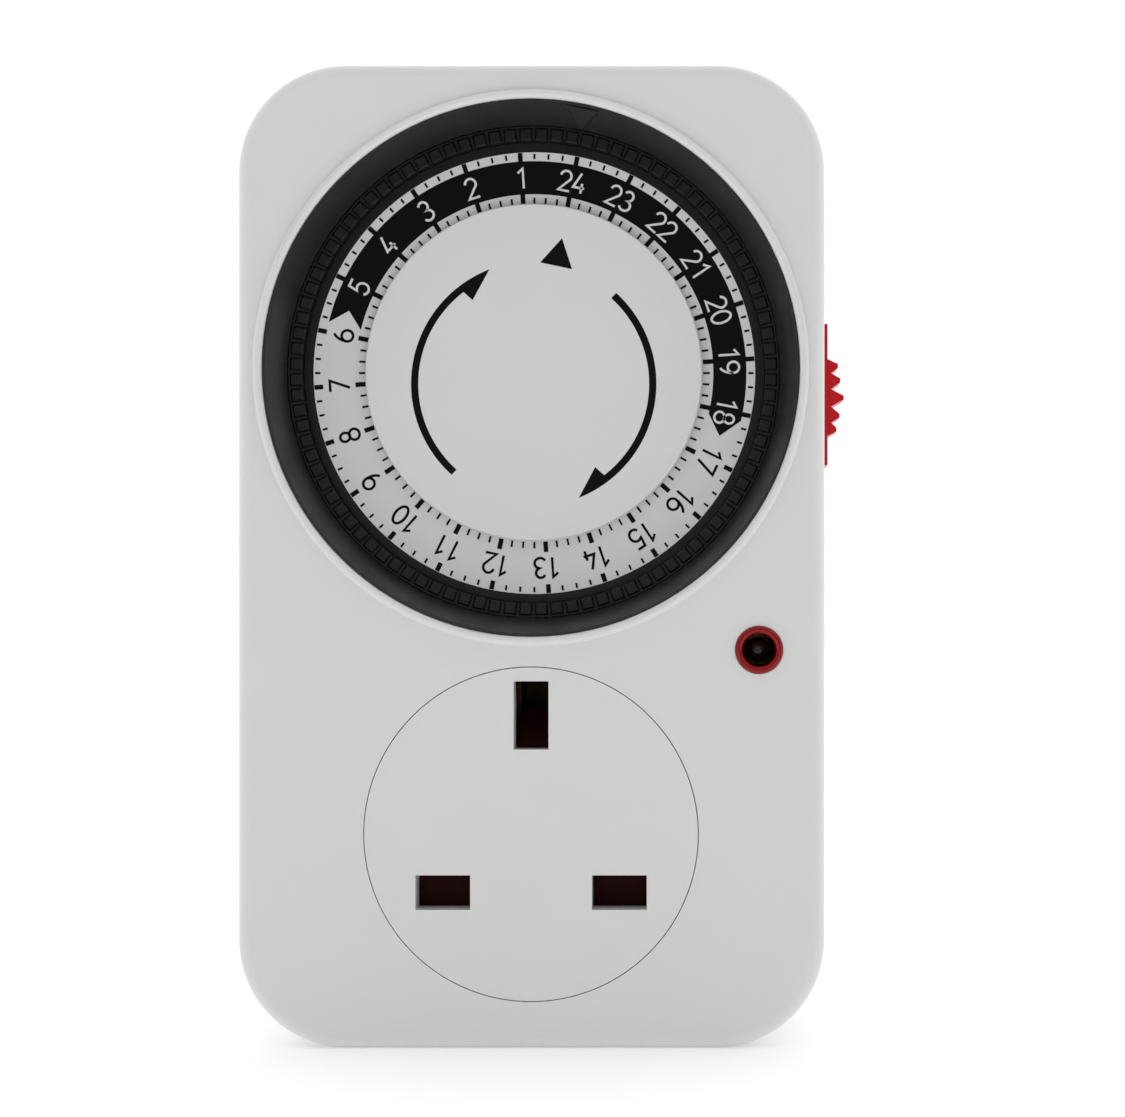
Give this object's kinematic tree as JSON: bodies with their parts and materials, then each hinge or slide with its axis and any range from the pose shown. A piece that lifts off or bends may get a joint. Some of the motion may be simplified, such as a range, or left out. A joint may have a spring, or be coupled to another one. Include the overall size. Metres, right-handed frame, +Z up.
{
  "type": "plug-in programmable timer",
  "caption": "White plug-in mechanical timer with a 24-hour segment dial, a mains socket outlet, an indicator and an override slider.",
  "frame": {"origin": "centre of the case's bottom face, half way between its front and back faces", "axes": "+Z up, +X to the right seen from the front, the dial and socket face -Y"},
  "size_m": [0.077, 0.0656, 0.124],
  "materials": {
    "white_plastic": "satin moulded ABS",
    "scale_print": "satin printed face",
    "black_plastic": "satin moulded",
    "sleeve_black": "satin",
    "red_plastic": "gloss",
    "neon_red": "tinted clear",
    "shutter_red": "satin",
    "natural_plastic": "satin moulded",
    "steel": "plain",
    "ferrite": "sintered",
    "copper_wire": "enamelled",
    "brass": "plain",
    "lamp_glass": "clear",
    "resistor": "satin"
  },
  "bodies": {
    "case": {"front_case": "white_plastic", "rear_case": "white_plastic", "case_screws": "steel", "dial_bezel": "black_plastic", "centre_disc": "white_plastic", "neon_lens": "neon_red", "socket_face": "white_plastic", "line_pin": "brass", "neutral_pin": "brass", "earth_pin": "brass", "pin_sleeves": "sleeve_black", "movement_plate": "natural_plastic", "movement_chassis": "natural_plastic", "chassis_screws": "steel", "steel_arbors": "steel", "motor_cup": "steel", "motor_pole_plate": "steel", "coil_bobbin": "natural_plastic", "coil_winding": "copper_wire", "lever_spring": "steel", "microswitch_case": "sleeve_black", "microswitch_terminals": "brass", "neon_lamp": "lamp_glass", "neon_resistor": "resistor", "shutter_spring": "steel", "contact_carrier": "natural_plastic", "line_contact": "brass", "neutral_contact": "brass", "earth_contact": "brass", "neutral_strap": "brass", "earth_strap": "brass", "live_strap": "brass", "load_strap": "brass"},
    "dial": {"dial_carrier": "black_plastic", "scale_disc": "scale_print"},
    "rotor": {"rotor_hub": "natural_plastic", "rotor_magnet": "ferrite"},
    "gear_1": {"gear_1": "natural_plastic"},
    "gear_2": {"gear_2": "natural_plastic"},
    "gear_3": {"gear_3": "natural_plastic"},
    "gear_4": {"gear_4": "natural_plastic"},
    "clutch": {"clutch_wheel": "natural_plastic"},
    "output": {"output_pinion": "natural_plastic", "clutch_washer": "steel"},
    "lever": {"trip_lever": "natural_plastic"},
    "plunger": {"microswitch_plunger": "natural_plastic"},
    "slider": {"override_slider": "red_plastic"},
    "shutter": {"shutter": "shutter_red"},
    "tappets_01": {"tappets_01": "black_plastic"},
    "tappets_02": {"tappets_02": "black_plastic"},
    "tappets_03": {"tappets_03": "black_plastic"},
    "tappets_04": {"tappets_04": "black_plastic"},
    "tappets_05": {"tappets_05": "black_plastic"},
    "tappets_06": {"tappets_06": "black_plastic"},
    "tappets_07": {"tappets_07": "black_plastic"},
    "tappets_08": {"tappets_08": "black_plastic"},
    "tappets_09": {"tappets_09": "black_plastic"},
    "tappets_10": {"tappets_10": "black_plastic"},
    "tappets_11": {"tappets_11": "black_plastic"},
    "tappets_12": {"tappets_12": "black_plastic"}
  },
  "joints": [
    {"name": "dial_spin", "type": "hinge", "parent": "case", "child": "dial", "pos_m": [0, 0, 0.0857], "axis": [0, 1, 0], "continuous": true},
    {"name": "output_spin", "type": "hinge", "parent": "case", "child": "output", "pos_m": [0.0153, 0, 0.10095], "axis": [0, 1, 0], "continuous": true},
    {"name": "rotor_spin", "type": "hinge", "parent": "case", "child": "rotor", "pos_m": [-0.00825, 0, 0.0692], "axis": [0, 1, 0], "continuous": true},
    {"name": "gear_1_spin", "type": "hinge", "parent": "case", "child": "gear_1", "pos_m": [-0.00825, 0, 0.0857], "axis": [0, 1, 0], "continuous": true},
    {"name": "gear_2_spin", "type": "hinge", "parent": "case", "child": "gear_2", "pos_m": [0.00825, 0, 0.0857], "axis": [0, 1, 0], "continuous": true},
    {"name": "gear_3_spin", "type": "hinge", "parent": "case", "child": "gear_3", "pos_m": [-0.00825, 0, 0.0857], "axis": [0, 1, 0], "continuous": true},
    {"name": "gear_4_spin", "type": "hinge", "parent": "case", "child": "gear_4", "pos_m": [0.00825, 0, 0.0857], "axis": [0, 1, 0], "continuous": true},
    {"name": "clutch_spin", "type": "hinge", "parent": "case", "child": "clutch", "pos_m": [0.0153, 0, 0.10095], "axis": [0, 1, 0], "continuous": true},
    {"name": "override_slide", "type": "slide", "parent": "case", "child": "slider", "axis": [0, 0, -1], "range_m": [-0.0045, 0]},
    {"name": "lever_swing", "type": "hinge", "parent": "case", "child": "lever", "pos_m": [0.0296, -0.0034, 0.064], "axis": [1, 0, 0], "range_deg": [0, 6.5], "deforming": ["lever_spring"]},
    {"name": "plunger_press", "type": "slide", "parent": "case", "child": "plunger", "axis": [0, 1, 0], "range_m": [-0.00121, 0]},
    {"name": "shutter_slide", "type": "slide", "parent": "case", "child": "shutter", "axis": [0, 0, -1], "range_m": [0, 0.0055], "stiffness_N_per_m": 100, "springref_m": -0.002, "deforming": ["shutter_spring"]},
    {"name": "tappets_01_push", "type": "slide", "parent": "dial", "child": "tappets_01", "axis": [0, 1, 0], "range_m": [0, 0.003]},
    {"name": "tappets_02_push", "type": "slide", "parent": "dial", "child": "tappets_02", "axis": [0, 1, 0], "range_m": [0, 0.003]},
    {"name": "tappets_03_push", "type": "slide", "parent": "dial", "child": "tappets_03", "axis": [0, 1, 0], "range_m": [0, 0.003]},
    {"name": "tappets_04_push", "type": "slide", "parent": "dial", "child": "tappets_04", "axis": [0, 1, 0], "range_m": [0, 0.003]},
    {"name": "tappets_05_push", "type": "slide", "parent": "dial", "child": "tappets_05", "axis": [0, 1, 0], "range_m": [0, 0.003]},
    {"name": "tappets_06_push", "type": "slide", "parent": "dial", "child": "tappets_06", "axis": [0, 1, 0], "range_m": [0, 0.003]},
    {"name": "tappets_07_push", "type": "slide", "parent": "dial", "child": "tappets_07", "axis": [0, 1, 0], "range_m": [0, 0.003]},
    {"name": "tappets_08_push", "type": "slide", "parent": "dial", "child": "tappets_08", "axis": [0, 1, 0], "range_m": [0, 0.003]},
    {"name": "tappets_09_push", "type": "slide", "parent": "dial", "child": "tappets_09", "axis": [0, 1, 0], "range_m": [0, 0.003]},
    {"name": "tappets_10_push", "type": "slide", "parent": "dial", "child": "tappets_10", "axis": [0, 1, 0], "range_m": [0, 0.003]},
    {"name": "tappets_11_push", "type": "slide", "parent": "dial", "child": "tappets_11", "axis": [0, 1, 0], "range_m": [0, 0.003]},
    {"name": "tappets_12_push", "type": "slide", "parent": "dial", "child": "tappets_12", "axis": [0, 1, 0], "range_m": [0, 0.003]}
  ],
  "couplings": [
    {"joint": "output_spin", "follows": "dial_spin", "ratio": 9},
    {"joint": "gear_1_spin", "follows": "rotor_spin", "ratio": -0.1},
    {"joint": "gear_2_spin", "follows": "rotor_spin", "ratio": 0.01},
    {"joint": "gear_3_spin", "follows": "rotor_spin", "ratio": -0.001},
    {"joint": "gear_4_spin", "follows": "rotor_spin", "ratio": 0.0001},
    {"joint": "clutch_spin", "follows": "rotor_spin", "ratio": -0.000016667},
    {"joint": "lever_swing", "follows": "override_slide", "rad_per_m": -24.822},
    {"joint": "plunger_press", "follows": "override_slide", "ratio": 0.26667}
  ]
}
